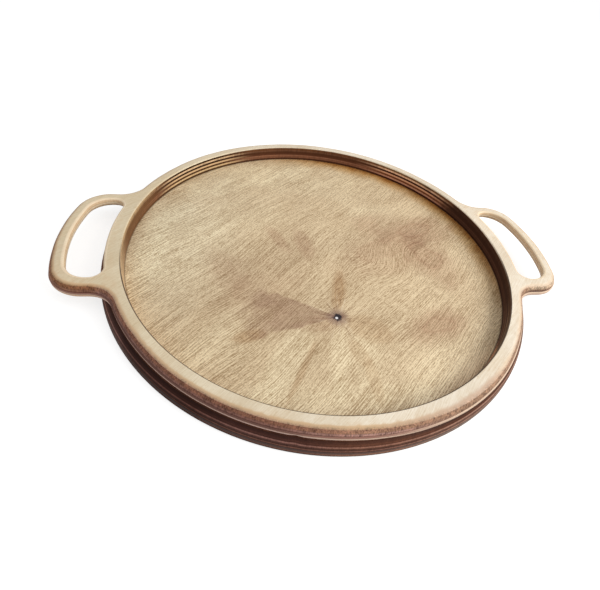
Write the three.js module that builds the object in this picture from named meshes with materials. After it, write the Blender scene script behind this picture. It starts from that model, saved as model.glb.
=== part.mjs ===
// Round serving tray with two loop handles, carved from one laminated plywood board.
// Millimetres, +Z up. The origin is the centre of the underside, the handles point along X.
// The board is a stack of glued veneers. Each veneer is its own sheet with its own cut outline:
// the upper ones carry the rim and both handle loops, the middle ones are rings that make the
// wall of the well, and the lower ones are full discs that make the floor.

import * as THREE from 'three';

// Sheets of the board
const faceVeneer = 1.0;
const coreVeneer = 1.75;

// Well and rim, seen from above
const wellDiameter = 300;
const rimWidth = 11;

// Handle loops, seen from above
const fingerGap = 25;
const gripBarWidth = 11;
const handleBowRadius = 138;
const handleWidth = 111;
const gripEndWidth = 11.5;
const handleCornerRadius = 25;
const handleRootRadius = 18;
const gapOuterCornerRadius = 16;
const gapInnerCornerRadius = 8;

// Worked edges
const rimRoundover = 5;
const rimLedge = 0.8;
const rimLedgeRise = 0.3;
const wellEdgeRoundover = 1;
const gapTopRoundover = 2;
const gapUnderRoundover = 5;
const easedEdge = 0.8;
const shoulderFlare = 5.1;

// Facets of the round stretches
const circleSteps = 72;
const bowSteps = 4;
const cornerSteps = 6;
const rootSteps = 4;
const roundoverSteps = 4;
const shoulderSteps = 6;

// Points of neighbouring curves closer than this are one point
const samePoint = 1e-6;

const quarterTurn = Math.PI / 2;
const wellRadius = wellDiameter / 2;
const rimRadius = wellRadius + rimWidth;
const handleReach = rimRadius + fingerGap + gripBarWidth;
const bowCentre = handleReach - handleBowRadius;
const gapBowRadius = handleBowRadius - gripBarWidth;
const handleHalfWidth = handleWidth / 2;
const gapHalfLength = handleHalfWidth - gripEndWidth;

const lightBirch = { color: 0xd9c39c, roughness: 0.5, metalness: 0 };
const darkBirch = { color: 0x5b3a28, roughness: 0.6, metalness: 0 };
const creamBirch = { color: 0xe6dcc0, roughness: 0.45, metalness: 0 };
const stainedBirch = { color: 0xc2a37c, roughness: 0.45, metalness: 0 };

// The veneers from the underside up. Their grain turns by a quarter turn from one to the next.
const baseVeneers = [
  { name: 'base_face_veneer', thickness: faceVeneer, wood: stainedBirch },
  { name: 'base_cross_veneer', thickness: coreVeneer, wood: darkBirch },
  { name: 'floor_veneer', thickness: coreVeneer, wood: stainedBirch },
];
const wallVeneers = [
  { name: 'wall_cross_veneer', thickness: coreVeneer, wood: darkBirch },
  { name: 'wall_core_veneer', thickness: coreVeneer, wood: lightBirch },
  { name: 'shoulder_cross_veneer', thickness: coreVeneer, wood: darkBirch },
];
const handleVeneers = [
  { name: 'handle_under_veneer', thickness: coreVeneer, wood: lightBirch },
  { name: 'handle_lower_cross_veneer', thickness: coreVeneer, wood: darkBirch },
  { name: 'handle_core_veneer', thickness: coreVeneer, wood: lightBirch },
  { name: 'handle_upper_cross_veneer', thickness: coreVeneer, wood: darkBirch },
  { name: 'top_face_veneer', thickness: faceVeneer, wood: creamBirch },
];

// Heights are rounded to single precision, so that the glued faces of two sheets meet exactly.
function stackVeneers(veneers, start) {
  let height = start;
  for (const veneer of veneers) {
    veneer.bottom = height;
    height += Math.fround(veneer.thickness);
    veneer.top = height;
  }
  return height;
}

const wallBottom = stackVeneers(baseVeneers, 0);
const handleBottom = stackVeneers(wallVeneers, wallBottom);
const boardTop = stackVeneers(handleVeneers, handleBottom);

// How far a rounded edge stands back at a given distance from the face that it starts on
function roundoverInset(radius, distance) {
  if (distance >= radius) {
    return 0;
  }
  return radius - Math.sqrt(radius ** 2 - (radius - distance) ** 2);
}

// Distances from that face at which the rounded edge gets a row of points
function roundoverStops(radius, steps) {
  const stops = [];
  for (let step = 1; step <= steps; step += 1) {
    stops.push(radius * (1 - Math.cos((quarterTurn * step) / steps)));
  }
  return stops;
}

// The rounded edge of the rim ends on a narrow ledge, which the wood below it leaves standing.
function rimInset(height) {
  const depth = boardTop - height;
  const ledge = rimLedge * Math.min(1, Math.max(0, 1 - (depth - rimRoundover) / rimLedgeRise));
  const above = ledge + roundoverInset(rimRoundover, depth);
  const below = roundoverInset(easedEdge, height - handleBottom);
  return Math.max(above, below);
}

function gapWidening(height) {
  const above = roundoverInset(gapTopRoundover, boardTop - height);
  const below = roundoverInset(gapUnderRoundover, height - handleBottom);
  return Math.max(above, below);
}

function wellWidening(height) {
  return roundoverInset(wellEdgeRoundover, boardTop - height);
}

// The wall swells below the handles in a quarter of an ellipse, down to the table.
function shoulderRadius(height) {
  const share = height / handleBottom;
  const swell = shoulderFlare * Math.sqrt(1 - share ** 2);
  return rimRadius + swell - roundoverInset(easedEdge, height);
}

function arc(x, y, radius, from, to, steps) {
  const clockwise = to < from;
  return new THREE.EllipseCurve(x, y, radius, radius, from, to, clockwise).getPoints(steps);
}

function circle(radius) {
  return arc(0, 0, radius, 0, 4 * quarterTurn, circleSteps).slice(0, circleSteps);
}

// Runs of points are joined, and a point that two runs share is kept once.
function join(runs) {
  const points = [];
  for (const point of runs.flat()) {
    const last = points[points.length - 1];
    if (!last || last.distanceTo(point) > samePoint) {
      points.push(point);
    }
  }
  if (points[0].distanceTo(points[points.length - 1]) <= samePoint) {
    points.pop();
  }
  return points;
}

function mirrored(points, alongX, alongY) {
  return points.map((point) => new THREE.Vector2(point.x * alongX, point.y * alongY));
}

// A corner arc that runs from the bow of a handle into a line along X at y = `side`
function bowCorner(bowRadius, radius, side) {
  const reach = bowRadius - radius;
  const y = side - radius;
  const along = Math.sqrt(reach ** 2 - y ** 2);
  return { x: bowCentre + along, y, radius, angle: Math.atan2(y, along) };
}

// Outline of the rim with both handles: one quarter is drawn, then mirrored round.
// The arcs keep their centres at every height, and an inset changes only their radii.
function plateOutline(inset) {
  const side = handleHalfWidth;
  const corner = bowCorner(handleBowRadius, handleCornerRadius, side);
  const rootLimit = (corner.x ** 2 + side ** 2 - rimRadius ** 2) / (2 * (rimRadius - side));
  const root = Math.min(handleRootRadius, rootLimit);
  const rootY = side + root;
  const rootX = Math.sqrt((rimRadius + root) ** 2 - rootY ** 2);
  const rootAngle = Math.atan2(rootY, rootX);
  const rimSteps = Math.round((circleSteps * (quarterTurn - rootAngle)) / (4 * quarterTurn));
  const cornerRadius = corner.radius - inset;
  const quarter = join([
    arc(bowCentre, 0, handleBowRadius - inset, 0, corner.angle, bowSteps),
    arc(corner.x, corner.y, cornerRadius, corner.angle, quarterTurn, cornerSteps),
    arc(rootX, rootY, root + inset, 3 * quarterTurn, 2 * quarterTurn + rootAngle, rootSteps),
    arc(0, 0, rimRadius - inset, rootAngle, quarterTurn, rimSteps),
  ]);
  const backward = [...quarter].reverse();
  return join([
    quarter,
    mirrored(backward, -1, 1),
    mirrored(quarter, -1, -1),
    mirrored(backward, 1, -1),
  ]);
}

// Outline of one finger gap, on the side that `side` gives: 1 is +X, -1 is -X.
function gapOutline(side, widening) {
  const end = gapHalfLength;
  const outer = bowCorner(gapBowRadius, gapOuterCornerRadius, end);
  const innerLimit = (outer.x ** 2 + end ** 2 - rimRadius ** 2) / (2 * (rimRadius + end));
  const inner = Math.min(gapInnerCornerRadius, innerLimit);
  const innerY = end - inner;
  const innerX = Math.sqrt((rimRadius + inner) ** 2 - innerY ** 2);
  const innerAngle = Math.atan2(innerY, innerX);
  const outerRadius = outer.radius + widening;
  const innerRadius = inner + widening;
  const half = join([
    arc(bowCentre, 0, gapBowRadius + widening, 0, outer.angle, bowSteps),
    arc(outer.x, outer.y, outerRadius, outer.angle, quarterTurn, cornerSteps),
    arc(innerX, innerY, innerRadius, quarterTurn, 2 * quarterTurn + innerAngle, cornerSteps),
    arc(0, 0, rimRadius - widening, innerAngle, 0, bowSteps),
  ]);
  const backward = [...half].reverse();
  return mirrored(join([half, mirrored(backward, 1, -1)]), side, side);
}

// A sheet's own two faces, and every stop that falls between them
function sheetLevels(veneer, stops) {
  const inside = stops.filter((height) => height > veneer.bottom && height < veneer.top);
  return [veneer.bottom, ...inside.sort((a, b) => a - b), veneer.top];
}

// Triangles of one flat face, turned to look up or down
function capTriangles(loops, offsets, base, facesUp) {
  const faces = THREE.ShapeUtils.triangulateShape(loops[0], loops.slice(1));
  const flat = loops.flat();
  const index = offsets.flatMap((offset, loop) => loops[loop].map((_, point) => offset + point));
  return faces.flatMap(([a, b, c]) => {
    const turn = (flat[b].x - flat[a].x) * (flat[c].y - flat[a].y)
      - (flat[b].y - flat[a].y) * (flat[c].x - flat[a].x);
    const corners = turn > 0 === facesUp ? [a, b, c] : [a, c, b];
    return corners.map((corner) => base + index[corner]);
  });
}

// Triangles of the edge between two levels. The first loop is the outside, the rest are holes.
function wallTriangles(loops, offsets, lower, upper) {
  const triangles = [];
  loops.forEach((loop, number) => {
    loop.forEach((_, point) => {
      const here = offsets[number] + point;
      const next = offsets[number] + ((point + 1) % loop.length);
      const [first, second] = number === 0 ? [here, next] : [next, here];
      triangles.push(lower + first, lower + second, upper + second);
      triangles.push(lower + first, upper + second, upper + first);
    });
  });
  return triangles;
}

// One sheet: the same loops are drawn at each level, and neighbouring levels are joined.
function sheetGeometry(veneer, stops, loopsAt) {
  const levels = sheetLevels(veneer, stops);
  const sections = levels.map((height) => loopsAt(height));
  const offsets = [];
  let levelSize = 0;
  for (const loop of sections[0]) {
    offsets.push(levelSize);
    levelSize += loop.length;
  }
  const positions = sections.flatMap((loops, level) => (
    loops.flat().flatMap((point) => [point.x, point.y, levels[level] - veneer.bottom])
  ));
  const last = levels.length - 1;
  const triangles = [
    ...capTriangles(sections[0], offsets, 0, false),
    ...capTriangles(sections[last], offsets, last * levelSize, true),
  ];
  for (let level = 0; level < last; level += 1) {
    triangles.push(...wallTriangles(
      sections[0],
      offsets,
      level * levelSize,
      (level + 1) * levelSize,
    ));
  }
  const geometry = new THREE.BufferGeometry();
  geometry.setAttribute('position', new THREE.Float32BufferAttribute(positions, 3));
  geometry.setIndex(triangles);
  geometry.computeVertexNormals();
  return geometry;
}

function layer(veneers, stops, loopsAt) {
  const group = new THREE.Group();
  for (const veneer of veneers) {
    const material = new THREE.MeshStandardMaterial(veneer.wood);
    const sheet = new THREE.Mesh(sheetGeometry(veneer, stops, loopsAt), material);
    sheet.name = veneer.name;
    sheet.position.z = veneer.bottom;
    group.add(sheet);
  }
  return group;
}

// Rim and both handle loops
function handleLayer() {
  const rimStops = roundoverStops(rimRoundover, roundoverSteps).map((stop) => boardTop - stop);
  const ledgeStop = boardTop - rimRoundover - rimLedgeRise;
  const stops = [...rimStops, ledgeStop, handleBottom + easedEdge];
  return layer(handleVeneers, stops, (height) => [
    plateOutline(rimInset(height)),
    circle(wellRadius + wellWidening(height)),
    gapOutline(1, gapWidening(height)),
    gapOutline(-1, gapWidening(height)),
  ]);
}

const shoulderStops = [
  ...roundoverStops(handleBottom, shoulderSteps).map((stop) => handleBottom - stop),
  easedEdge,
];

// Rings round the lower half of the well
function wallLayer() {
  return layer(wallVeneers, shoulderStops, (height) => [
    circle(shoulderRadius(height)),
    circle(wellRadius),
  ]);
}

// Discs under the well. The upper face of the top one is the floor.
function baseLayer() {
  return layer(baseVeneers, shoulderStops, (height) => [circle(shoulderRadius(height))]);
}

const tray = new THREE.Group();
tray.add(baseLayer(), wallLayer(), handleLayer());

export default tray;
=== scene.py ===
import math

import bmesh
import bpy
from mathutils import Matrix, Quaternion, Vector, noise
from mathutils.geometry import tessellate_polygon


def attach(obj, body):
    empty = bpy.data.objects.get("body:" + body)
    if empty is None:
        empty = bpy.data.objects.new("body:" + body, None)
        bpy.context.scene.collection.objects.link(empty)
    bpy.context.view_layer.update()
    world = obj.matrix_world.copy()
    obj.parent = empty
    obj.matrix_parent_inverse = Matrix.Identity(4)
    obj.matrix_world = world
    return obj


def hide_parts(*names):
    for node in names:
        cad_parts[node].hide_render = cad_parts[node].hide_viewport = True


# A round tray with two loop handles, carved from one laminated birch board.
# Lengths in this file are in millimetres until a mesh, a lamp or the camera is placed.
MM = 0.001

# The board: thickness of its outer and inner veneers
FACE = 1.0
CORE = 1.75

# The plan, as in the part's own drawing
WELL_RADIUS = 150
RIM_RADIUS = 161
HANDLE_REACH = 197
HANDLE_BOW_RADIUS = 138
HANDLE_HALF_WIDTH = 55.5
HANDLE_CORNER_RADIUS = 25
HANDLE_ROOT_RADIUS = 18
GRIP_WIDTH = 11
GAP_HALF_LENGTH = 44
GAP_OUTER_CORNER = 16
GAP_INNER_CORNER = 8

# The worked edges
RIM_ROUNDOVER = 5
RIM_LEDGE = 0.8
RIM_LEDGE_RISE = 0.3
WELL_EDGE_ROUNDOVER = 1
GAP_TOP_ROUNDOVER = 2
GAP_UNDER_ROUNDOVER = 5
EASED_EDGE = 0.8
SHOULDER_FLARE = 5.1

# Where the layers of the board meet
WALL_BOTTOM = 2 * CORE + FACE
HANDLE_BOTTOM = WALL_BOTTOM + 3 * CORE
BOARD_TOP = HANDLE_BOTTOM + 4 * CORE + FACE

# Fineness of the meshes: points along an outline, rows up an edge, the strip of the flat
# beside an edge, and the angle from which an edge is kept sharp
STEP = 1.5
SAME_POINT = 0.01
LEAST_RISE = 0.04
BORDER = 0.25
SHARP = math.radians(30)

# The outlines of a handle veneer that go round the finger gaps
GAP_LOOPS = (2, 3)

# Direction of the fibres in the face veneers, and in the cross veneers under them
FACE_GRAIN = math.radians(45)
CROSS_GRAIN = FACE_GRAIN + math.pi / 2

# Depth of the fibres and the pores in each kind of surface
EDGE_RELIEF = 0.12
FACE_RELIEF = 0.05
GAP_RELIEF = 0.1
UNDERSIDE_RELIEF = 0.15

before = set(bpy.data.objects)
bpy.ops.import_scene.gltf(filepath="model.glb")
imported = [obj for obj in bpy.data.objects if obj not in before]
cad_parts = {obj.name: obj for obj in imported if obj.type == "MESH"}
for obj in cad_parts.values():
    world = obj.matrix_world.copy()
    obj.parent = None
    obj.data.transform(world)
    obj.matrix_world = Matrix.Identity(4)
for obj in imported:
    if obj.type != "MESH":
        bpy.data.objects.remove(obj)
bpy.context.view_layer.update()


# Outlines: each point carries the direction that leads out of the wood


def arc(x, y, radius, start, end, hollow=False):
    """An arc; a hollow one has the air on the side of its centre."""
    count = max(3, math.ceil(abs(end - start) * radius / STEP))
    side = -1 if hollow else 1
    points = []
    for step in range(count + 1):
        turn = start + (end - start) * step / count
        east, north = math.cos(turn), math.sin(turn)
        points.append((x + radius * east, y + radius * north, side * east, side * north))
    return points


def joined(*runs):
    """Runs of points in one loop, with doubled points left out."""
    loop = []
    for point in [point for run in runs for point in run]:
        if not loop or math.dist(loop[-1][:2], point[:2]) > SAME_POINT:
            loop.append(point)
    if math.dist(loop[0][:2], loop[-1][:2]) <= SAME_POINT:
        loop.pop()
    return loop


def mirrored(points, along_x, along_y):
    return [
        (x * along_x, y * along_y, out_x * along_x, out_y * along_y)
        for x, y, out_x, out_y in points
    ]


def ring(radius, hollow=False):
    return joined(arc(0, 0, radius, 0, 2 * math.pi, hollow))


def bow_corner(bow_radius, radius, side):
    """Centre of a corner that joins the bow of a handle to its straight side."""
    y = side - radius
    along = math.sqrt((bow_radius - radius) ** 2 - y**2)
    return HANDLE_REACH - HANDLE_BOW_RADIUS + along, y, math.atan2(y, along)


def ring_corner(radius, y):
    """Centre of an arc that touches the rim from outside, at the given height in plan."""
    x = math.sqrt((RIM_RADIUS + radius) ** 2 - y**2)
    return x, math.atan2(y, x)


def plate_outline():
    """The rim with both handles."""
    quarter_turn = math.pi / 2
    bow_x = HANDLE_REACH - HANDLE_BOW_RADIUS
    corner_x, corner_y, corner_turn = bow_corner(
        HANDLE_BOW_RADIUS, HANDLE_CORNER_RADIUS, HANDLE_HALF_WIDTH
    )
    root_y = HANDLE_HALF_WIDTH + HANDLE_ROOT_RADIUS
    root_x, root_turn = ring_corner(HANDLE_ROOT_RADIUS, root_y)
    quarter = joined(
        arc(bow_x, 0, HANDLE_BOW_RADIUS, 0, corner_turn),
        arc(corner_x, corner_y, HANDLE_CORNER_RADIUS, corner_turn, quarter_turn),
        arc(root_x, root_y, HANDLE_ROOT_RADIUS, 3 * quarter_turn, math.pi + root_turn, hollow=True),
        arc(0, 0, RIM_RADIUS, root_turn, quarter_turn),
    )
    return joined(
        quarter,
        mirrored(quarter[::-1], -1, 1),
        mirrored(quarter, -1, -1),
        mirrored(quarter[::-1], 1, -1),
    )


def gap_outline(side):
    """The finger gap of the right handle (1) or the left one (-1)."""
    bow_x = HANDLE_REACH - HANDLE_BOW_RADIUS
    bow_radius = HANDLE_BOW_RADIUS - GRIP_WIDTH
    outer_x, outer_y, outer_turn = bow_corner(bow_radius, GAP_OUTER_CORNER, GAP_HALF_LENGTH)
    inner_y = GAP_HALF_LENGTH - GAP_INNER_CORNER
    inner_x, inner_turn = ring_corner(GAP_INNER_CORNER, inner_y)
    half = joined(
        arc(bow_x, 0, bow_radius, 0, outer_turn, hollow=True),
        arc(outer_x, outer_y, GAP_OUTER_CORNER, outer_turn, math.pi / 2, hollow=True),
        arc(inner_x, inner_y, GAP_INNER_CORNER, math.pi / 2, math.pi + inner_turn, hollow=True),
        arc(0, 0, RIM_RADIUS, inner_turn, 0),
    )
    return mirrored(joined(half, mirrored(half[::-1], 1, -1)), side, side)


# Worked edges: how far the wood stands back from its outline at a height


def rounded(radius, distance):
    if distance >= radius:
        return 0
    return radius - math.sqrt(radius**2 - (radius - max(distance, 0)) ** 2)


def rounded_stops(radius, steps):
    return [radius * (1 - math.cos(math.pi / 2 * step / steps)) for step in range(1, steps + 1)]


def rim_edge(height):
    """The rounded edge ends on a narrow ledge, and the wood below it is upright."""
    depth = BOARD_TOP - height
    ledge = RIM_LEDGE * min(1, max(0, 1 - (depth - RIM_ROUNDOVER) / RIM_LEDGE_RISE))
    return max(ledge + rounded(RIM_ROUNDOVER, depth), rounded(EASED_EDGE, height - HANDLE_BOTTOM))


def gap_edge(height):
    return max(
        rounded(GAP_TOP_ROUNDOVER, BOARD_TOP - height),
        rounded(GAP_UNDER_ROUNDOVER, height - HANDLE_BOTTOM),
    )


def well_edge(height):
    return rounded(WELL_EDGE_ROUNDOVER, BOARD_TOP - height)


def shoulder_edge(height):
    share = min(height / HANDLE_BOTTOM, 1)
    return rounded(EASED_EDGE, height) - SHOULDER_FLARE * math.sqrt(1 - share**2)


# Heights at which the edges turn, for the rows of points
HANDLE_STOPS = sorted(
    [BOARD_TOP - stop for stop in rounded_stops(RIM_ROUNDOVER, 12)]
    + [BOARD_TOP - RIM_ROUNDOVER - RIM_LEDGE_RISE]
    + [BOARD_TOP - stop for stop in rounded_stops(WELL_EDGE_ROUNDOVER, 6)]
    + [HANDLE_BOTTOM + stop for stop in rounded_stops(GAP_UNDER_ROUNDOVER, 8)]
    + [HANDLE_BOTTOM + stop for stop in rounded_stops(EASED_EDGE, 4)]
)
SHOULDER_STOPS = sorted(
    [HANDLE_BOTTOM - stop for stop in rounded_stops(HANDLE_BOTTOM, 16)]
    + rounded_stops(EASED_EDGE, 4)
)


# Hand work: the router and the sandpaper left nothing perfectly even

# How far the rim stands proud at its widest and in which direction, and the length of the
# sandpaper's waves with their share of a worked edge
BULGE = 1.6
BULGE_TURN = math.radians(-60)
BROAD_WAVE = 38
BROAD_SHARE = 0.09
NEAR_WAVE = 9
NEAR_SHARE = 0.04

# Small dents where the edge was knocked: place on the board, reach and depth
DENTS = (
    ((-49.5, -150.5, 13.0), 2.2, 0.5),
    ((-37.5, -157.0, 9.4), 4.2, 0.7),
    ((183.0, -45.0, 15.0), 7.0, 0.6),
    ((-178.0, 46.0, 15.5), 6.0, 0.4),
)


def sanded(x, y):
    """How much more or less than planned the sandpaper took off here."""
    broad = noise.noise(Vector((x, y, 0)) / BROAD_WAVE)
    near = noise.noise(Vector((y, x, 50)) / NEAR_WAVE)
    return 1 + BROAD_SHARE * broad + NEAR_SHARE * near


def proud(x, y):
    """The rim was cut by eye, and it is widest at the right front."""
    turn = math.atan2(y, x) - BULGE_TURN
    return BULGE * max(0, 2 * math.cos(turn) - 1) ** 6


def knocked(x, y, height):
    depth = 0
    for place, reach, deepest in DENTS:
        near = 1 - (Vector((x, y, height)) - Vector(place)).length / reach
        if near > 0:
            depth = max(depth, deepest * near**1.5)
    return depth


def stood_back(outline, edge, height, border):
    """The outline at one height, with its worked edge and its wear."""
    planned = edge(height)
    points = []
    for x, y, out_x, out_y in outline:
        back = planned * sanded(x, y) if planned > 0 else planned
        back += border + knocked(x, y, height)
        if edge is rim_edge:
            back -= proud(x, y)
        points.append((x - out_x * back, y - out_y * back))
    return points


# Veneers


def levels(low, high, stops):
    """The heights of the rows of points up the edge of a veneer."""
    heights = [low]
    for stop in stops:
        if heights[-1] + LEAST_RISE < stop < high - LEAST_RISE:
            heights.append(stop)
    return heights + [high]


def edge_faces(row_count, sizes):
    """The faces between the rows of points, and the finish of each."""
    row_size = sum(sizes)
    faces = []
    finishes = []
    for row in range(row_count - 1):
        start = row * row_size
        for loop, size in enumerate(sizes):
            for point in range(size):
                here, after = start + point, start + (point + 1) % size
                faces.append((here, after, after + row_size, here + row_size))
                finishes.append(1 if loop in GAP_LOOPS else 0)
            start += size
    return faces, finishes


def flat_faces(loops, first):
    """The flat inside one row of points, which are numbered from first."""
    outlines = [[Vector((x, y, 0)) for x, y in loop] for loop in loops]
    return [tuple(first + point for point in face) for face in tessellate_polygon(outlines)]


def veneer_mesh(name, low, high, stops, edges):
    """One veneer as a closed sheet. edges holds each outline with its worked edge."""
    places = [(height, 0) for height in levels(low, high, stops)]
    places = [(low, BORDER)] + places + [(high, BORDER)]
    rows = [[stood_back(line, edge, *place) for line, edge in edges] for place in places]
    corners = []
    for (height, _), row in zip(places, rows):
        corners += [(x * MM, y * MM, height * MM) for loop in row for x, y in loop]
    sizes = [len(outline) for outline, _ in edges]
    faces, finishes = edge_faces(len(rows), sizes)
    for row in (0, len(rows) - 1):
        flat = flat_faces(rows[row], row * sum(sizes))
        faces += flat
        finishes += [0] * len(flat)
    mesh = bpy.data.meshes.new(name)
    mesh.from_pydata(corners, [], faces)
    mesh.polygons.foreach_set("material_index", finishes)
    face_out(mesh)
    mesh.shade_smooth()
    mesh.set_sharp_from_angle(angle=SHARP)
    return mesh


def face_out(mesh):
    shape = bmesh.new()
    shape.from_mesh(mesh)
    bmesh.ops.recalc_face_normals(shape, faces=shape.faces)
    shape.to_mesh(mesh)
    shape.free()


def placed(name, data):
    """A new object in the scene."""
    thing = bpy.data.objects.new(name, data)
    bpy.context.scene.collection.objects.link(thing)
    return thing


def lay_veneer(name, node, low, high, stops, edges, finishes):
    piece = placed(name, veneer_mesh(name, low, high, stops, edges))
    for finish in finishes:
        piece.data.materials.append(finish)
    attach(piece, "root")
    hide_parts(node)


# Laying out shader nodes: their spacing in the editor, and the kinds of sockets

NODE_WIDTH = 200
NODE_HEIGHT = 260
NODES_IN_COLUMN = 4
FLOAT = "NodeSocketFloat"
COLOR = "NodeSocketColor"
VECTOR = "NodeSocketVector"


class Kit:
    """Adds shader nodes to one tree and joins them."""

    def __init__(self, tree):
        self.tree = tree

    def node(self, kind, feeds=None, **settings):
        node = self.tree.nodes.new(kind)
        column, row = divmod(len(self.tree.nodes), NODES_IN_COLUMN)
        node.location = (NODE_WIDTH * column, -NODE_HEIGHT * row)
        for name, value in settings.items():
            setattr(node, name, value)
        self.feed_all(node, feeds or {})
        return node

    def feed(self, socket, value):
        if isinstance(value, bpy.types.NodeSocket):
            self.tree.links.new(value, socket)
        else:
            socket.default_value = value

    def feed_all(self, node, feeds):
        for name, value in feeds.items():
            self.feed(node.inputs[name], value)

    def filled(self, node, values):
        """The outputs of a node whose inputs take the values in their order."""
        for socket, value in zip(node.inputs, values):
            self.feed(socket, value)
        return node.outputs

    def maths(self, operation, *values, clamp=False):
        node = self.node("ShaderNodeMath", operation=operation, use_clamp=clamp)
        return self.filled(node, values)[0]

    def vector_maths(self, operation, *values):
        return self.filled(self.node("ShaderNodeVectorMath", operation=operation), values)

    def plus(self, *values):
        total = values[0]
        for value in values[1:]:
            total = self.maths("ADD", total, value)
        return total

    def minus(self, value, taken):
        return self.maths("SUBTRACT", value, taken)

    def times(self, *values):
        product = values[0]
        for value in values[1:]:
            product = self.maths("MULTIPLY", product, value)
        return product

    def swing(self, value, most):
        """A value from 0 to 1 as a swing to both sides of 0."""
        return self.times(self.plus(value, -0.5), most)

    def rise(self, value, start, end):
        """0 before start, 1 past end, and a soft rise between. end may be the lower one."""
        feeds = {"Value": value, "From Min": start, "From Max": end}
        return self.node("ShaderNodeMapRange", feeds, interpolation_type="SMOOTHSTEP").outputs[0]

    def spread(self, value, low, high):
        """A value from 0 to 1 laid out between low and high."""
        feeds = {"Value": value, "To Min": low, "To Max": high}
        return self.node("ShaderNodeMapRange", feeds).outputs[0]

    def mix(self, share, first, second, blend="MIX"):
        node = self.node("ShaderNodeMix", data_type="RGBA", blend_type=blend)
        for socket, value in ((0, share), (6, first), (7, second)):
            self.feed(node.inputs[socket], value)
        return node.outputs[2]

    def tint(self, share, color, stain):
        """The colour as it looks through a stain."""
        return self.mix(share, color, stain, blend="MULTIPLY")

    def place(self):
        """The point on the board, in millimetres."""
        spot = self.node("ShaderNodeTexCoord").outputs["Object"]
        return self.scaled(spot, (1000, 1000, 1000))

    def facing(self):
        """1 where the wood faces up, 0 where it stands upright, -1 where it faces down."""
        return self.parts(self.node("ShaderNodeTexCoord").outputs["Normal"])["Z"]

    def scaled(self, vector, factors):
        return self.vector_maths("MULTIPLY", vector, factors)[0]

    def less(self, vector, taken):
        return self.vector_maths("SUBTRACT", vector, taken)[0]

    def length(self, vector):
        return self.vector_maths("LENGTH", vector)["Value"]

    def span(self, east, north):
        """The distance in plan."""
        return self.maths("SQRT", self.plus(self.times(east, east), self.times(north, north)))

    def bearing(self, east, north, degrees, folds=1):
        """1 in a direction in plan and -1 against it, repeated folds times round."""
        turn = self.plus(self.maths("ARCTAN2", north, east), math.radians(-degrees))
        return self.maths("COSINE", self.times(turn, folds))

    def turned(self, vector, turn):
        """The point seen along a direction in plan."""
        feeds = {"Vector": vector, "Angle": self.times(turn, -1)}
        return self.node("ShaderNodeVectorRotate", feeds, rotation_type="Z_AXIS").outputs[0]

    def parts(self, vector):
        return self.node("ShaderNodeSeparateXYZ", {"Vector": vector}).outputs

    def swayed(self, vector, most):
        """The point moved a little across the fibres, differently from place to place."""
        drift = self.swing(self.speckle(vector, (0.008, 0.008, 0.02), detail=1), most)
        across = self.node("ShaderNodeCombineXYZ", {"Y": drift}).outputs[0]
        return self.vector_maths("ADD", vector, across)[0]

    def speckle(self, vector, fineness, detail=2, roughness=0.5):
        """Uneven spots from 0 to 1. fineness says how many come to the millimetre."""
        feeds = {
            "Vector": self.scaled(vector, fineness),
            "Scale": 1,
            "Detail": detail,
            "Roughness": roughness,
        }
        return self.node("ShaderNodeTexNoise", feeds).outputs["Fac"]

    def group(self, tree, feeds):
        return self.node("ShaderNodeGroup", feeds, node_tree=tree).outputs

    def give(self, values):
        """Ends a group, which every value leaves by an output of its own."""
        for label in values:
            kind = COLOR if label == "Color" else FLOAT
            self.tree.interface.new_socket(label, in_out="OUTPUT", socket_type=kind)
        self.node("NodeGroupOutput", values)
        return self.tree


def new_effect(name, takes):
    tree = bpy.data.node_groups.new(name, "ShaderNodeTree")
    for label, kind in takes.items():
        tree.interface.new_socket(label, in_out="INPUT", socket_type=kind)
    kit = Kit(tree)
    return kit, kit.node("NodeGroupInput").outputs


def shade(red, green, blue):
    """A colour as the eye names it, 0 to 255, in the shader's linear values."""
    linear = []
    for part in (red, green, blue):
        part /= 255
        linear.append(part / 12.92 if part <= 0.04045 else ((part + 0.055) / 1.055) ** 2.4)
    return (*linear, 1)


# Effects that several finishes share. Lengths in them are in millimetres, radii from the
# middle of the board and heights from its underside.


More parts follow.
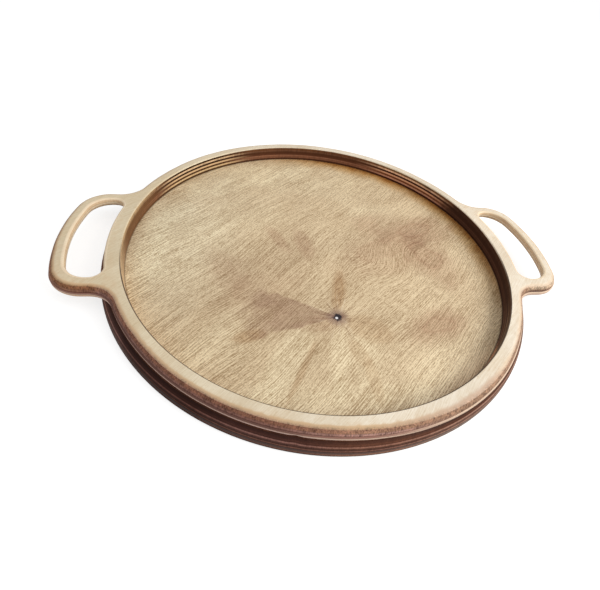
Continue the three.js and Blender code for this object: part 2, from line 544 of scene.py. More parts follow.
def birch_grain_effect():
    """The flat of a sliced birch veneer: clouds, fine parallel lines, short fibres, mottling."""
    numbers = ("Turn", "Clouds", "Lines", "Mottling", "Growth Lines", "Whorl Turn")
    takes = {**dict.fromkeys(numbers, FLOAT), "Pale Wood": COLOR, "Dark Wood": COLOR}
    kit, taken = new_effect("birch_grain", {**takes, "Whorl": VECTOR})
    # Round a hidden branch the fibres run in a curl.
    away = kit.less(kit.place(), taken["Whorl"])
    near = kit.rise(kit.length(away), 42, 4)
    curl = kit.times(near, taken["Whorl Turn"])
    lay = kit.swayed(kit.turned(away, kit.plus(taken["Turn"], curl)), 26)
    clouds = kit.speckle(lay, (0.02, 0.045, 0.02), detail=4, roughness=0.6)
    clouds = kit.rise(clouds, 0.32, 0.68)
    bands = kit.speckle(lay, (0.01, 0.16, 0.2))
    lines = kit.speckle(lay, (0.02, 1.5, 0.5), detail=1, roughness=0.6)
    dashes = kit.speckle(lay, (0.16, 2.3, 1), detail=1, roughness=0.6)
    pores = kit.rise(kit.speckle(lay, (0.3, 1.8, 2), detail=0), 0.66, 0.76)
    mottling = kit.speckle(lay, (0.75, 0.95, 0.5), roughness=0.7)
    # The growth lines lie side by side, a millimetre and a half apart.
    wander = kit.speckle(lay, (0.007, 0.02, 0.02), detail=3)
    across = kit.plus(kit.parts(lay)["Y"], kit.times(wander, 24))
    growth = kit.times(kit.maths("SINE", kit.times(across, 4.2)), 0.5)
    broken = kit.speckle(lay, (0.03, 0.2, 0.1))
    growth = kit.times(growth, kit.rise(broken, 0.35, 0.6), taken["Growth Lines"])
    threads = kit.plus(
        kit.swing(bands, 0.25),
        kit.swing(lines, 1.6),
        kit.swing(dashes, 1.6),
        kit.times(pores, 0.35),
    )
    tone = kit.plus(
        kit.swing(clouds, taken["Clouds"]),
        kit.times(threads, taken["Lines"]),
        kit.swing(mottling, taken["Mottling"]),
        growth,
    )
    tone = kit.maths("ADD", tone, 0.4, clamp=True)
    color = kit.mix(tone, taken["Pale Wood"], taken["Dark Wood"])
    height = kit.plus(kit.times(lines, -0.6), kit.times(pores, -0.8))
    height = kit.minus(height, dashes)
    rough = kit.spread(dashes, 0.34, 0.6)
    return kit.give({"Color": color, "Height": height, "Roughness": rough})


STAIN_INPUTS = ("Rim Along Fibres", "Rim Stained", "Rim Soaked Shaded", "Well Left", "Well Right", "Well Between")
STREAK_INPUTS = ("Streak At", "Streak", "Shaded")


class EdgeSpot:
    """Where a point lies on a cut edge, and how far its stain drifted."""

    def __init__(self, kit):
        self.place = kit.place()
        self.east, self.north, self.up = kit.parts(self.place)
        self.radius = kit.span(self.east, self.north)
        drift = kit.speckle(self.place, (0.04, 0.04, 0.06), detail=3)
        self.drift = kit.swing(drift, 0.6)
        # 1 where the edge runs along the fibres, -1 where it meets their ends
        along = kit.bearing(self.east, self.north, -40, folds=2)
        self.along = kit.plus(along, self.drift)
        self.pale = kit.rise(self.along, -0.1, 0.65)
        self.outside = kit.rise(self.radius, 152, 155)


def well_stain_and_light(kit, taken, spot):
    """The wall of the well. Its veneers stand out most at four places round it, partly by their
    grain and partly by painted reflections of the lamp.
    """
    clear = kit.bearing(spot.east, spot.north, 43, folds=4)
    clear = kit.rise(kit.plus(clear, spot.drift), -0.1, 0.9)
    side = kit.mix(kit.rise(spot.east, 30, -30), taken["Well Right"], taken["Well Left"])
    stain = kit.mix(clear, taken["Well Between"], side)
    # At the far left the wall is an even tan that pales towards the rim.
    far_left = kit.times(kit.rise(spot.east, -127, -146), 0.85)
    upper = kit.rise(kit.plus(spot.up, kit.times(spot.drift, 4)), 12.6, 16.2)
    tan = kit.mix(upper, shade(130, 92, 58), shade(204, 172, 130))
    stain = kit.mix(far_left, stain, tan)
    # At the front left it is pale, and at the right, away from the lamp, it is darkest: painted
    # shade.
    front_left = kit.times(kit.rise(spot.east, -100, -140), kit.rise(spot.north, 10, -50))
    stain = kit.mix(front_left, stain, shade(228, 198, 158))
    right = kit.bearing(spot.east, spot.north, -8)
    right = kit.rise(kit.plus(right, spot.drift), 0.73, 0.87)
    right = kit.times(right, 0.78, kit.rise(spot.up, 17.0, 16.4))
    return kit.mix(right, stain, shade(50, 28, 22))


def rim_stain_and_light(kit, taken, spot):
    """Round the rim the colour of the edge turns from where it runs along the fibres, at the right
    front, to where it meets their ends, at the left front.

    Besides the stain these colours hold painted light: highlight and crease shade towards the lamp,
    and deepest shade away from it.
    """
    soaked_and_shaded = kit.rise(spot.along, -0.75, -0.1)
    stain = kit.mix(soaked_and_shaded, taken["Rim Soaked Shaded"], taken["Rim Stained"])
    stain = kit.mix(spot.pale, stain, taken["Rim Along Fibres"])
    # Painted shade: the lower rim at the left front, away from the lamp, is darkened further.
    deepest = kit.times(kit.rise(spot.along, -0.8, -0.98), kit.rise(spot.up, 12, 9))
    return kit.tint(deepest, stain, (0.5, 0.42, 0.38, 1))


def handle_stain_and_light(kit, spot, stain):
    """The edge of the right handle, which faces the lamp, pales upwards from a dark line, and under
    it lies a paler band, partly painted highlight.

    The edge of the left handle, away from the lamp, is browner: partly stain and partly painted
    shade.
    """
    handle = kit.rise(spot.radius, 164, 170)
    right = kit.times(handle, kit.rise(spot.east, 0, 60))
    upper = kit.times(right, kit.rise(spot.up, 13.8, 16.2), 0.5)
    stain = kit.mix(upper, stain, shade(238, 216, 184))
    line = kit.times(kit.rise(spot.up, 14.6, 13.9), kit.rise(spot.up, 12.7, 13.1), 0.75)
    stain = kit.mix(kit.times(right, line), stain, shade(100, 76, 66))
    # Painted highlight, in part: the paler band under the dark line of the right handle.
    under = kit.times(right, kit.rise(spot.up, 12.9, 12.5))
    stain = kit.mix(under, stain, shade(204, 168, 144))
    # Painted shade, with stain: the left handle's edge is browner.
    left = kit.times(handle, kit.rise(spot.east, 0, -60))
    return kit.tint(left, stain, (0.8, 0.7, 0.54, 1))


def hatched(kit, taken, spot, stain, hatch):
    """Strokes of cut fibres, some darker than the stain and some paler."""
    tufts = kit.speckle(spot.place, (0.3, 0.3, 0.25))
    stroke = kit.plus(hatch, kit.times(tufts, 0.5), -0.75)
    stroke = kit.times(stroke, taken["Hatching"], kit.spread(spot.outside, 3, 5))
    darker = kit.times(kit.maths("ADD", stroke, 0, clamp=True), 0.6)
    stain = kit.mix(darker, stain, shade(60, 26, 18))
    paler = kit.maths("MULTIPLY", stroke, -0.6, clamp=True)
    return kit.tint(paler, stain, (1.7, 1.6, 1.6, 1))


def streaked(kit, taken, spot, stain, level):
    """A painted highlight runs as a pale streak along each lower veneer, as if its edge bulged, and
    painted shade darkens the rest of its edge.
    """
    away = kit.maths("ABSOLUTE", kit.minus(level, taken["Streak At"]))
    # Painted shade on the rest of the edge, then the painted highlight of the streak.
    darker = kit.times(kit.rise(away, 0.14, 0.36), taken["Shaded"], spot.outside)
    stain = kit.tint(darker, stain, (0.55, 0.48, 0.45, 1))
    paler = kit.times(kit.rise(away, 0.36, 0.14), taken["Streak"], spot.outside)
    return kit.tint(paler, stain, (1.9, 1.85, 1.8, 1))


def glue_line(kit, taken, spot, depth):
    """How dark the glue shows at a depth from the nearer face of the veneer."""
    full = kit.spread(spot.outside, 0.2, 0.05)
    glue = kit.rise(depth, kit.spread(spot.outside, 0.7, 0.5), full)
    seen = kit.spread(spot.outside, 1, kit.spread(spot.pale, 0.7, 0.3))
    return kit.times(glue, taken["Joints"], seen)


def ledge_light_and_shade(kit, spot, stain):
    """A bright line, partly pale wood and partly painted highlight, runs under the narrow ledge;
    the ledge is painted bright where it faces up, and painted shade darkens it at the left front.
    """
    # Partly painted highlight: the bright line under the ledge.
    line = kit.times(kit.rise(spot.up, 12.35, 12.05), kit.rise(spot.up, 11.0, 11.4))
    clear = kit.spread(kit.rise(spot.along, -0.8, -0.2), 0.3, 0.9)
    stain = kit.mix(kit.times(line, spot.outside, clear), stain, shade(255, 226, 200))
    # Painted highlight on the ledge where it faces up, and painted shade on it at the left front.
    level = kit.times(kit.rise(spot.up, 12.95, 12.75), kit.rise(spot.up, 12.1, 12.4))
    flat = kit.times(kit.rise(kit.facing(), 0.5, 0.85), kit.rise(spot.radius, 155, 158))
    ledge = kit.mix(spot.pale, shade(165, 122, 108), shade(236, 208, 182))
    ledge = kit.mix(kit.rise(spot.along, -0.3, -0.8), ledge, shade(125, 90, 80))
    return kit.mix(kit.times(level, flat), stain, ledge)


def cut_edge_effect():
    """The stained edge of a veneer, on the wall of the well or round the rim."""
    numbers = ("Hatching", "Joints", *STREAK_INPUTS, "Low", "High")
    takes = {**dict.fromkeys(STAIN_INPUTS, COLOR), **dict.fromkeys(numbers, FLOAT)}
    kit, taken = new_effect("cut_edge", takes)
    spot = EdgeSpot(kit)
    rim = handle_stain_and_light(kit, spot, rim_stain_and_light(kit, taken, spot))
    stain = kit.mix(spot.outside, well_stain_and_light(kit, taken, spot), rim)
    hatch = kit.speckle(spot.place, (1.4, 1.4, 0.1), roughness=0.7)
    stain = hatched(kit, taken, spot, stain, hatch)
    # The veneers wander up and down a little in the board.
    wander = kit.speckle(spot.place, (0.12, 0.12, 0.3), detail=3)
    height = kit.plus(spot.up, kit.swing(wander, 0.35))
    above = kit.minus(height, taken["Low"])
    below = kit.minus(taken["High"], height)
    level = kit.maths("DIVIDE", above, kit.plus(above, below))
    stain = streaked(kit, taken, spot, stain, level)
    glue = glue_line(kit, taken, spot, kit.maths("MINIMUM", above, below))
    stain = kit.mix(kit.times(glue, 0.7), stain, shade(40, 18, 12))
    return kit.give(
        {
            "Color": ledge_light_and_shade(kit, spot, stain),
            "Clear": spot.pale,
            "Height": kit.plus(hatch, kit.times(glue, -0.5)),
            "Roughness": kit.spread(hatch, 0.35, 0.65),
        }
    )


def stain_pool_effect():
    """A soft, ragged patch of deeper or paler stain; some pale ones on the floor are painted light.
    """
    numbers = ("Turn", "Length", "Width", "Ragged", "Soft")
    takes = {**dict.fromkeys(numbers, FLOAT), "Centre": VECTOR}
    kit, taken = new_effect("stain_pool", takes)
    place = kit.place()
    lay = kit.turned(kit.less(place, taken["Centre"]), taken["Turn"])
    along, across, _ = kit.parts(lay)
    along = kit.maths("DIVIDE", along, taken["Length"])
    away = kit.span(along, kit.maths("DIVIDE", across, taken["Width"]))
    grain = kit.turned(place, FACE_GRAIN)
    cloud = kit.speckle(grain, (0.035, 0.06, 0.05), detail=5, roughness=0.6)
    threads = kit.speckle(grain, (0.06, 0.9, 0.5), detail=3, roughness=0.6)
    ragged = kit.plus(kit.times(cloud, 3.2), kit.times(threads, 0.6), -1.9)
    uneven = kit.plus(away, kit.times(ragged, taken["Ragged"]))
    full = kit.minus(1, taken["Soft"])
    mask = kit.rise(uneven, kit.spread(full, 1.3, 1.05), full)
    # Where the stain dried it left faint rings.
    smooth = kit.plus(away, kit.times(cloud, 0.9))
    rings = kit.rise(kit.maths("SINE", kit.times(smooth, 17)), 0, 1)
    return kit.give({"Mask": kit.plus(mask, kit.times(rings, mask, 0.3))})


def oiled_wear_effect():
    """Handling: polished patches, dull patches and hair scratches."""
    kit, taken = new_effect("oiled_wear", {"Roughness": FLOAT, "Scratches": FLOAT})
    place = kit.place()
    patches = kit.speckle(place, (0.022, 0.022, 0.05), detail=4)
    slant = kit.turned(place, math.radians(71))
    lines = kit.speckle(slant, (0.06, 5, 1), detail=1)
    other = kit.turned(place, math.radians(-24))
    others = kit.speckle(other, (0.05, 5.5, 1), detail=1)
    lines = kit.plus(kit.rise(lines, 0.7, 0.78), kit.rise(others, 0.71, 0.79))
    lines = kit.times(lines, taken["Scratches"])
    rough = kit.plus(taken["Roughness"], kit.swing(patches, 0.35))
    rough = kit.maths("ADD", rough, kit.times(lines, 0.2), clamp=True)
    height = kit.times(lines, -1)
    return kit.give({"Roughness": rough, "Height": height, "Tone": patches})


# Stands in for the wall of the well on the lowest veneers, which don't reach it
TAN = (134, 90, 59)


def stained_edge(rim, well=(TAN, TAN, TAN), hatching=0.6, joints=0.3, streak=(0.5, 0, 0)):
    """The colours of a cut edge: rim along the fibres, stained, and soaked and shaded at the fibre
    ends, well left, right and between; the rim colours hold painted light and shade as well as
    stain.

    streak says where the painted highlight streak runs, how bright it is and how much painted shade
    darkens the rest.
    """
    stains = {name: shade(*color) for name, color in zip(STAIN_INPUTS, rim + well)}
    streaks = dict(zip(STREAK_INPUTS, streak))
    return {**stains, **streaks, "Hatching": hatching, "Joints": joints}


# Colours of the cut edges, stains with painted light and shade in them, from the underside up to
# the face of the rim
EDGES = {
    "base_face": stained_edge(
        rim=((74, 58, 50), (122, 88, 72), (100, 72, 62)),
        hatching=0.4,
        streak=(0.6, 0.4, 0.5),
    ),
    "base_cross": stained_edge(
        rim=((74, 56, 48), (136, 98, 78), (104, 74, 64)),
        hatching=0.4,
        streak=(0.75, 0.8, 0.6),
    ),
    "floor": stained_edge(
        rim=((76, 56, 48), (104, 70, 56), (84, 56, 48)),
        hatching=0.4,
        streak=(0.2, 0.3, 0.3),
    ),
    "wall_cross": stained_edge(
        well=((88, 60, 32), (72, 34, 22), (84, 52, 34)),
        rim=((120, 86, 70), (104, 72, 60), (94, 64, 54)),
        streak=(0.45, 0.9, 0.9),
    ),
    "wall_core": stained_edge(
        well=((232, 198, 150), (216, 160, 132), (140, 94, 70)),
        rim=((140, 106, 90), (128, 90, 74), (118, 84, 76)),
        streak=(0.78, 0.7, 0.9),
    ),
    "shoulder_cross": stained_edge(
        well=((86, 56, 26), (130, 74, 40), (154, 106, 80)),
        rim=((80, 48, 32), (92, 57, 42), (68, 40, 33)),
        joints=0.5,
        streak=(0.3, 0.35, 0.2),
    ),
    "handle_under": stained_edge(
        well=((234, 196, 150), (236, 178, 142), (96, 56, 36)),
        rim=((96, 62, 44), (255, 216, 192), (245, 205, 192)),
        hatching=0.15,
    ),
    "handle_lower_cross": stained_edge(
        well=((58, 34, 12), (64, 28, 12), (88, 52, 32)),
        rim=((160, 122, 98), (148, 106, 94), (112, 76, 66)),
        joints=0.2,
        streak=(0.18, 0.8, 0),
    ),
    "handle_core": stained_edge(
        well=((240, 206, 164), (255, 208, 172), (118, 80, 58)),
        rim=((160, 126, 100), (198, 154, 140), (150, 107, 94)),
        hatching=1.1,
        joints=0.5,
    ),
    "handle_upper_cross": stained_edge(
        well=((62, 38, 12), (136, 98, 64), (116, 74, 46)),
        rim=((168, 134, 108), (178, 134, 108), (146, 101, 80)),
        hatching=1.2,
    ),
    "top_face": stained_edge(
        well=((255, 240, 206), (255, 240, 208), (122, 84, 54)),
        rim=((196, 162, 132), (190, 152, 114), (188, 150, 120)),
        hatching=0.9,
        joints=0,
    ),
}

GRAIN = birch_grain_effect()
EDGE = cut_edge_effect()
POOL = stain_pool_effect()
WEAR = oiled_wear_effect()


# Finishes


def new_material(name):
    """A material, its kit and its shader."""
    material = bpy.data.materials.new(name)
    material.use_nodes = True
    return material, Kit(material.node_tree), material.node_tree.nodes["Principled BSDF"]


def wood_shader(name, gloss=0.5):
    """A new material with its oiled wood shader."""
    material, kit, shader = new_material(name)
    kit.feed_all(shader, {"IOR": 1.45, "Specular IOR Level": gloss})
    kit.feed_all(shader, {"Coat Weight": gloss * 0.24, "Coat Roughness": 0.35})
    return material, kit, shader


def finish_wood(kit, shader, color, roughness, height, relief):
    """Joins the colour, the gloss and the relief to the shader, with the marks of handling."""
    wear = kit.group(WEAR, {"Roughness": roughness, "Scratches": 0.6})
    tone = kit.spread(wear["Tone"], 0.9, 1.1)
    toned = kit.node("ShaderNodeCombineColor", {"Red": tone, "Green": tone, "Blue": tone})
    color = kit.tint(1, color, toned.outputs[0])
    kit.feed_all(shader, {"Base Color": color, "Roughness": wear["Roughness"]})
    height = kit.plus(height, kit.times(wear["Height"], 0.4))
    bump = kit.node("ShaderNodeBump", {"Height": height, "Strength": 0.6, "Distance": relief * MM})
    kit.feed(shader.inputs["Normal"], bump.outputs[0])


def flatness(kit):
    """1 where the wood lies flat, 0 where it stands upright."""
    return kit.maths("ABSOLUTE", kit.facing())


def ply_finish(name, low, high, turn, pale, dark, stains):
    """A veneer whose edge shows in the wall, with grain on what shows of its flat."""
    material, kit, shader = wood_shader(name, gloss=0.12)
    woods = {"Turn": turn, "Pale Wood": pale, "Dark Wood": dark}
    grain = kit.group(GRAIN, {**woods, "Clouds": 0.5, "Lines": 0.6, "Mottling": 0.5})
    edge = kit.group(EDGE, {**stains, "Low": low, "High": high})
    flat = kit.rise(flatness(kit), 0.97, 0.995)
    color = kit.mix(flat, edge["Color"], grain["Color"])
    roughness = kit.plus(
        kit.times(edge["Roughness"], kit.minus(1, flat)),
        kit.times(grain["Roughness"], flat),
    )
    height = kit.plus(edge["Height"], kit.times(grain["Height"], flat))
    finish_wood(kit, shader, color, roughness, height, EDGE_RELIEF)
    return material


def rim_face_finish():
    """The cream face sheet, browned where the rounded edge cuts through it."""
    material, kit, shader = wood_shader("rim_face_birch")
    woods = {"Pale Wood": shade(254, 242, 222), "Dark Wood": shade(224, 202, 170)}
    figure = {"Turn": FACE_GRAIN, "Clouds": 0.4, "Lines": 0.5, "Mottling": 0.6}
    grain = kit.group(GRAIN, {**woods, **figure})
    edge = kit.group(EDGE, {**EDGES["top_face"], "Low": BOARD_TOP - FACE, "High": BOARD_TOP})
    place = kit.place()
    east, north, up = kit.parts(place)
    # Painted shade: the face is a little darker towards the left, away from the lamp.
    color = kit.tint(kit.rise(east, 60, -160), grain["Color"], shade(246, 242, 228))
    uneven = kit.speckle(place, (0.25, 0.25, 0.3), detail=3)
    depth = kit.minus(BOARD_TOP, up)
    # A thin dark line, partly painted shade, follows the edge of the well at the front.
    line = kit.times(kit.rise(depth, 0.0, 0.09), kit.rise(north, 10, -50))
    radius = kit.span(east, north)
    inside = kit.rise(radius, 156, 153)
    depth = kit.plus(depth, kit.swing(uneven, 0.3))
    kept = kit.times(kit.spread(edge["Clear"], 1, 0.5), kit.rise(radius, 153, 156))
    tanned = kit.times(kit.rise(depth, -0.05, 0.2), kept)
    color = kit.mix(tanned, color, shade(226, 192, 150))
    # At the right front the tan starts on the flat.
    early = kit.rise(kit.bearing(east, north, -70), 0.945, 0.98)
    early = kit.times(early, kit.rise(kit.plus(radius, uneven), 156, 159))
    color = kit.mix(early, color, shade(206, 172, 142))
    start = kit.spread(inside, 0.04, 0.35)
    color = kit.mix(kit.rise(depth, start, 1.0), color, edge["Color"])
    color = kit.mix(kit.times(line, inside), color, shade(84, 60, 40))
    height = kit.plus(grain["Height"], kit.times(edge["Height"], 0.5))
    finish_wood(kit, shader, color, grain["Roughness"], height, FACE_RELIEF)
    return material


def gap_finish(name, color, line):
    """The wall of a finger gap: tan, with a thin darker line along each joint."""
    material, kit, shader = wood_shader(name)
    place = kit.place()
    up = kit.parts(place)["Z"]
    stack = kit.maths("FRACT", kit.maths("DIVIDE", kit.plus(up, -FACE), CORE))
    joint = kit.maths("ABSOLUTE", kit.plus(stack, -0.5))
    joint = kit.rise(joint, 0.3, 0.5)
    hatch = kit.speckle(place, (0.9, 0.9, 0.12), detail=3, roughness=0.7)
    cloud = kit.speckle(place, (0.07, 0.07, 0.1), detail=3)
    share = kit.plus(kit.times(joint, 0.5), kit.times(hatch, 0.7), kit.times(cloud, 0.6))
    share = kit.maths("ADD", share, -0.5, clamp=True)
    color = kit.mix(share, color, line)
    height = kit.plus(hatch, kit.times(joint, -0.5))
    finish_wood(kit, shader, color, kit.spread(hatch, 0.35, 0.6), height, GAP_RELIEF)
    return material


# Patches of the floor: centre, direction in degrees, length, width, raggedness, softness
# and strength
MAUVE_POOLS = (
    ((-52, -44), 110, 42, 36, 0.35, 0.8, 0.34),
    ((-74, -26), 120, 38, 15, 0.4, 0.7, 0.3),
    ((-22, 0), 75, 40, 28, 0.4, 0.9, 0.15),
    ((-12, 9), 98, 21, 9, 0.2, 0.6, 0.5),
    ((-33, 14), 116, 23, 6, 0.2, 0.6, 0.45),
    ((92, 30), 12, 48, 22, 0.35, 0.7, 0.7),
    ((94, -4), 112, 44, 24, 0.35, 0.8, 0.7),
    ((50, 0), 30, 44, 32, 0.4, 0.9, 0.55),
    ((52, 42), 30, 28, 14, 0.4, 0.9, 0.45),
    ((76, -80), 20, 32, 15, 0.35, 0.7, 0.7),
    ((-10, -76), 190, 22, 9, 0.1, 0.6, 0.5),
)
BROWN_POOLS = (
    ((24, -82), -28, 20, 12, 0.12, 0.45, 0.35),
    ((12, -102), -70, 14, 6, 0.1, 0.4, 0.22),
    ((17, -122), -88, 20, 5, 0.1, 0.4, 0.25),
    ((-27, -112), 62, 30, 2.4, 0.06, 0.5, 0.35),
    ((-60, -86), 14, 13, 6, 0.15, 0.5, 0.5),
    ((8, -46), 76, 26, 6, 0.25, 0.7, 0.6),
    ((-84, -64), 55, 36, 12, 0.5, 1, 0.2),
)
# Pale patches. Those by the left and front foot of the wall, at (-108, 6), (-134, 10) and (-10,
# -136), are painted light that lifts the shade of the wall.
PALE_POOLS = (
    ((-108, 6), 60, 92, 34, 0.4, 0.9, 0.85),
    ((-134, 10), 88, 60, 16, 0.2, 1, 1.0),
    ((-36, -104), 56, 46, 11, 0.2, 0.5, 0.9),
    ((-2, -106), 80, 30, 8, 0.2, 0.6, 0.8),
    ((-10, -136), 0, 80, 16, 0.2, 1, 1.0),
    ((16, -104), 90, 30, 14, 0.3, 1, 0.8),
    ((-86, -94), 50, 50, 22, 0.5, 1, 0.6),
    ((62, -118), 34, 66, 22, 0.4, 1, 0.6),
    ((60, 92), 40, 60, 34, 0.5, 1, 0.3),
    ((58, 58), 15, 24, 10, 0.4, 0.8, 0.5),
    ((-50, 110), 25, 76, 30, 0.5, 1, 0.9),
    ((4, 106), 0, 52, 28, 0.5, 1, 0.7),
    ((-118, 50), 60, 40, 24, 0.5, 1, 0.7),
    ((-44, 44), 50, 30, 18, 0.5, 1, 0.5),
)

# The pin knot, the direction in degrees and the length of its fan, and the curl in the fibres
KNOT = (2.7, -70.8, WALL_BOTTOM)
KNOT_TURN = 174
KNOT_REACH = 46
WHORL = (62, -6, WALL_BOTTOM)


def knot_effect():
    """A pin knot: its ring and halo, the painted glint in its eye, and the fan and streaks that run
    away from it.
    """
    takes = {"Centre": VECTOR, "Turn": FLOAT, "Opening": FLOAT, "Reach": FLOAT}
    kit, taken = new_effect("pin_knot", takes)
    away = kit.less(kit.place(), taken["Centre"])
    lay = kit.turned(away, taken["Turn"])
    along, across, _ = kit.parts(lay)
    distance = kit.span(along, across)
    around = kit.maths("ARCTAN2", across, along)
    spokes = kit.node("ShaderNodeCombineXYZ", {"X": around, "Y": distance}).outputs[0]
    rays = kit.speckle(spokes, (6, 0.05, 1), detail=3, roughness=0.6)
    cloud = kit.speckle(away, (0.05, 0.05, 0.05), detail=4, roughness=0.6)
    cloud = kit.plus(cloud, -0.5)
    far = kit.plus(distance, kit.times(cloud, 60))
    limit = kit.times(taken["Reach"], 1.6)
    near = kit.rise(far, limit, taken["Reach"])
    side = kit.maths("ABSOLUTE", kit.plus(around, kit.times(cloud, 0.35)))
    side = kit.maths("DIVIDE", side, taken["Opening"])
    fan = kit.rise(side, 1.04, 0.88)
    fan = kit.times(fan, near, kit.spread(rays, 0.4, 1.3))
    grit = kit.speckle(away, (0.4, 0.4, 0.4))
    uneven = kit.plus(distance, kit.swing(grit, 5))
    off_glint = kit.length(kit.less(away, (-0.9, -0.9, 0)))
    return kit.give(
        {
            "Ring": kit.rise(uneven, 4.2, 2),
            "Halo": kit.rise(uneven, 11, 2),
            "Glint": kit.rise(off_glint, 1.3, 0.7),
            "Fan": fan,
            "Rays": kit.swing(rays, kit.rise(distance, 38, 5)),
        }
    )


def pools_on(kit, color, pools, stain):
    """Lays the patches over a colour, one after the other. The fibres stay visible in them."""
    for centre, turn, length, width, ragged, soft, strength in pools:
        place = {"Centre": (*centre, 0), "Turn": math.radians(turn)}
        shape = {"Length": length, "Width": width, "Ragged": ragged, "Soft": soft}
        pool = kit.group(POOL, {**place, **shape})
        color = kit.tint(kit.times(pool["Mask"], strength), color, stain)
    return color


def knotted(kit, color, knot):
    """The floor with its knot: the fan, the streaks, the stained ring and the painted glint in its
    eye.
    """
    color = kit.tint(kit.times(knot["Fan"], 0.62), color, (0.52, 0.38, 0.38, 1))
    color = kit.tint(kit.rise(knot["Rays"], 0.02, 0.2), color, (0.5, 0.4, 0.34, 1))
    paler = kit.times(kit.rise(knot["Rays"], -0.02, -0.2), 0.6)
    color = kit.mix(paler, color, shade(246, 226, 196))
    color = kit.mix(kit.times(knot["Halo"], 0.6), color, shade(110, 72, 74))
    color = kit.mix(knot["Ring"], color, shade(30, 16, 26))
    # Painted highlight: a bright glint in the eye of the knot.
    return kit.mix(knot["Glint"], color, shade(250, 246, 244))


def stain_and_shade_at_foot(kit, color, place):
    """Stain left standing along the foot of the wall, with painted shadow of the wall over it, most
    of all at the back right.

    A thin dark line of painted shade follows the foot all round.
    """
    east, north, _ = kit.parts(place)
    radius = kit.span(east, north)
    ragged = kit.speckle(place, (0.06, 0.06, 0.06), detail=5, roughness=0.65)
    # Painted shadow of the wall over the stain, heaviest at the back right.
    soaked_and_shaded = kit.rise(kit.bearing(east, north, 40), 0.3, 0.9)
    edge = kit.plus(radius, kit.swing(ragged, 16))
    outer = kit.times(kit.rise(edge, 130, 147), soaked_and_shaded)
    color = kit.tint(outer, color, (0.84, 0.64, 0.38, 1))
    deep = kit.times(kit.rise(edge, 142, 150), soaked_and_shaded)
    color = kit.tint(deep, color, (0.72, 0.5, 0.28, 1))
    # Painted shade: a thin dark line in the corner at the foot of the wall.
    line = kit.times(kit.rise(radius, 149, 149.8), 0.6)
    return kit.mix(line, color, shade(96, 68, 46))


def floor_finish():
    """The stained floor: figure, fibres, patches of stain and one pin knot."""
    material, kit, shader = wood_shader("stained_floor_birch")
    place = kit.place()
    east, north, _ = kit.parts(place)
    front = kit.rise(north, 0, -80)
    grain = kit.group(
        GRAIN,
        {
            "Turn": FACE_GRAIN,
            "Pale Wood": shade(246, 222, 182),
            "Dark Wood": shade(170, 138, 98),
            "Clouds": 0.22,
            "Lines": 1.2,
            "Mottling": kit.spread(front, 2.2, 1.8),
            "Growth Lines": kit.spread(front, 0.06, 0.34),
            "Whorl": WHORL,
            "Whorl Turn": 0.6,
        },
    )
    color = pools_on(kit, grain["Color"], PALE_POOLS, (1.16, 1.22, 1.26, 1))
    color = pools_on(kit, color, MAUVE_POOLS, (0.72, 0.6, 0.56, 1))
    color = pools_on(kit, color, BROWN_POOLS, (0.62, 0.46, 0.32, 1))
    # At the left the floor took a cool, greenish tone.
    cool = kit.times(kit.rise(east, -40, -110), kit.rise(north, -110, -40))
    color = kit.tint(cool, color, (0.97, 1, 1.04, 1))
    turn = math.radians(KNOT_TURN)
    knot = kit.group(
        knot_effect(), {"Centre": KNOT, "Turn": turn, "Opening": 0.4, "Reach": KNOT_REACH}
    )
    color = stain_and_shade_at_foot(kit, knotted(kit, color, knot), place)
    specks = kit.node("ShaderNodeTexVoronoi", {"Vector": place, "Scale": 0.022})
    specks = kit.rise(specks.outputs["Distance"], 0.025, 0.01)
    color = kit.mix(kit.times(specks, 0.7), color, shade(84, 58, 44))
    disc = kit.group(EDGE, {**EDGES["floor"], "Low": FACE + CORE, "High": WALL_BOTTOM})
    color = kit.mix(kit.rise(flatness(kit), 0.98, 0.9), color, disc["Color"])
    height = kit.plus(grain["Height"], kit.times(knot["Ring"], -2))
    finish_wood(kit, shader, color, grain["Roughness"], height, FACE_RELIEF)
    return material


def underside_finish():
    """The underside, sanded and thinly stained."""
    material, kit, shader = wood_shader("underside_birch")
    woods = {"Pale Wood": shade(224, 200, 164), "Dark Wood": shade(166, 132, 96)}
    figure = {"Turn": FACE_GRAIN, "Clouds": 0.5, "Lines": 0.9, "Mottling": 0.8}
    grain = kit.group(GRAIN, {**woods, **figure})
    edge = kit.group(EDGE, {**EDGES["base_face"], "Low": -FACE, "High": FACE})
    color = kit.mix(kit.rise(flatness(kit), 0.85, 0.97), edge["Color"], grain["Color"])
    finish_wood(kit, shader, color, grain["Roughness"], grain["Height"], UNDERSIDE_RELIEF)
    return material


# The tray

# Flats of the inner veneers, where a step lays them bare
PALE_FACE = (shade(206, 176, 134), shade(160, 124, 86))
DARK_FACE = (shade(104, 66, 46), shade(66, 38, 28))


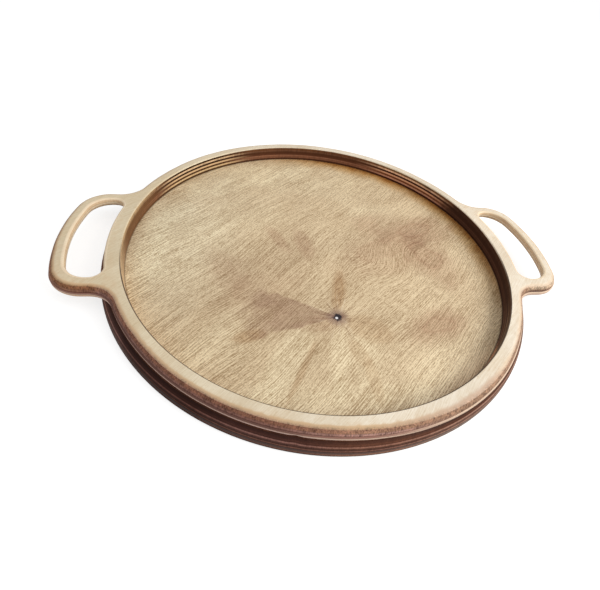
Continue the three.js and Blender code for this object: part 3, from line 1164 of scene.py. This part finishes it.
def build_tray():
    well = ring(WELL_RADIUS, hollow=True)
    shoulder = [(ring(RIM_RADIUS), shoulder_edge)]
    wall = shoulder + [(well, well_edge)]
    handles = [
        (plate_outline(), rim_edge),
        (well, well_edge),
        (gap_outline(1), gap_edge),
        (gap_outline(-1), gap_edge),
    ]
    layers = (
        ("base_face", "stained_birch", shoulder),
        ("base_cross", "dark_birch", shoulder),
        ("floor", "stained_birch", shoulder),
        ("wall_cross", "dark_birch", wall),
        ("wall_core", "light_birch", wall),
        ("shoulder_cross", "dark_birch", wall),
        ("handle_under", "light_birch", handles),
        ("handle_lower_cross", "dark_birch", handles),
        ("handle_core", "light_birch", handles),
        ("handle_upper_cross", "dark_birch", handles),
        ("top_face", "cream_birch", handles),
    )
    special = {"base_face": underside_finish, "floor": floor_finish, "top_face": rim_face_finish}
    pale_gap = gap_finish("gap_wall_pale_birch", shade(255, 236, 204), shade(216, 170, 124))
    brown_gap = gap_finish("gap_wall_brown_birch", shade(246, 218, 178), shade(190, 142, 100))
    low = 0
    for number, (name, slot, edges) in enumerate(layers):
        high = low + (FACE if number in (0, len(layers) - 1) else CORE)
        crossed = slot == "dark_birch"
        if name in special:
            finish = special[name]()
        else:
            turn, faces = (CROSS_GRAIN, DARK_FACE) if crossed else (FACE_GRAIN, PALE_FACE)
            finish = ply_finish(name + "_birch", low, high, turn, *faces, EDGES[name])
        stops = SHOULDER_STOPS if low < HANDLE_BOTTOM else HANDLE_STOPS
        finishes = [finish, brown_gap if crossed else pale_gap]
        lay_veneer(name + "_sheet", name + "_veneer", low, high, stops, edges, finishes)
        low = high


# Table, light and camera: directions in degrees, lengths in metres, and the camera's lens
# and sensor in millimetres

TABLE_HALF = 3
TABLE_DROP = 0.0001
TABLE_GLOW = 0.68
DAYLIGHT = 0.55
LAMP_LENGTH = 1.1
LAMP_HEIGHT = 0.6
LAMP_POWER = 7
LAMP_AROUND = -16
LAMP_UP = 36
CAMERA_AROUND = -106.12
CAMERA_UP = 37.93
CAMERA_DISTANCE = 0.313965
CAMERA_PAN = 1.493
CAMERA_TILT = -8.833
CAMERA_ROLL = -11.405
CAMERA_LENS = 23.145
CAMERA_SENSOR = 36


def towards(around, up):
    """The direction that leads away from the tray at an angle in plan and a height."""
    around, up = math.radians(around), math.radians(up)
    level = math.cos(up)
    return Vector((math.cos(around) * level, math.sin(around) * level, math.sin(up)))


def lay_table():
    """A plain pale table that the camera sees as white, with the tray's soft shadow on it."""
    mesh = bpy.data.meshes.new("table")
    sides = (-TABLE_HALF, TABLE_HALF)
    corners = [(x, y, -TABLE_DROP) for x in sides for y in sides]
    mesh.from_pydata(corners, [], [(0, 2, 3, 1)])
    table = placed("table", mesh)
    material, kit, shader = new_material("table_white")
    kit.feed_all(shader, {"Base Color": (0.6, 0.6, 0.6, 1), "Emission Color": (1, 1, 1, 1)})
    kit.feed_all(shader, {"Roughness": 0.9, "Specular IOR Level": 0})
    seen = kit.node("ShaderNodeLightPath").outputs["Is Camera Ray"]
    kit.feed(shader.inputs["Emission Strength"], kit.times(seen, TABLE_GLOW))
    mesh.materials.append(material)


def light_studio():
    """One broad lamp at the right, and even light from all round."""
    world = bpy.data.worlds.new("studio")
    bpy.context.scene.world = world
    world.use_nodes = True
    kit = Kit(world.node_tree)
    ground = world.node_tree.nodes["Background"]
    path = kit.node("ShaderNodeLightPath").outputs["Is Camera Ray"]
    ground.inputs["Color"].default_value = (1, 1, 1, 1)
    kit.feed(ground.inputs["Strength"], kit.spread(path, DAYLIGHT, 1))
    lamp = bpy.data.lights.new("window", "AREA")
    lamp.shape = "RECTANGLE"
    lamp.size = LAMP_LENGTH
    lamp.size_y = LAMP_HEIGHT
    lamp.energy = LAMP_POWER
    lamp.color = (1, 0.99, 0.97)
    window = placed("window", lamp)
    window.location = towards(LAMP_AROUND, LAMP_UP)
    window.rotation_mode = "QUATERNION"
    window.rotation_quaternion = window.location.to_track_quat("Z", "Y")


def place_camera():
    """The camera stands in front and to the left, and is held a little askew."""
    away = towards(CAMERA_AROUND, CAMERA_UP)
    ahead = -away
    right = ahead.cross(Vector((0, 0, 1))).normalized()
    above = right.cross(ahead)
    pan = Quaternion(above, math.radians(CAMERA_PAN))
    ahead, right = pan @ ahead, pan @ right
    tilt_up = Quaternion(right, math.radians(CAMERA_TILT))
    ahead, above = tilt_up @ ahead, tilt_up @ above
    roll = Quaternion(ahead, math.radians(CAMERA_ROLL))
    right, above = roll @ right, roll @ above
    data = bpy.data.cameras.new("camera")
    data.sensor_width = CAMERA_SENSOR
    data.lens = CAMERA_LENS
    data.clip_start = 0.01
    camera = placed("camera", data)
    turned = Matrix((right, above, -ahead)).transposed().to_4x4()
    turned.translation = away * CAMERA_DISTANCE + Vector((0, 0, BOARD_TOP * MM))
    camera.matrix_world = turned
    bpy.context.scene.camera = camera


bpy.context.scene.view_settings.view_transform = "Standard"
build_tray()
lay_table()
light_studio()
place_camera()
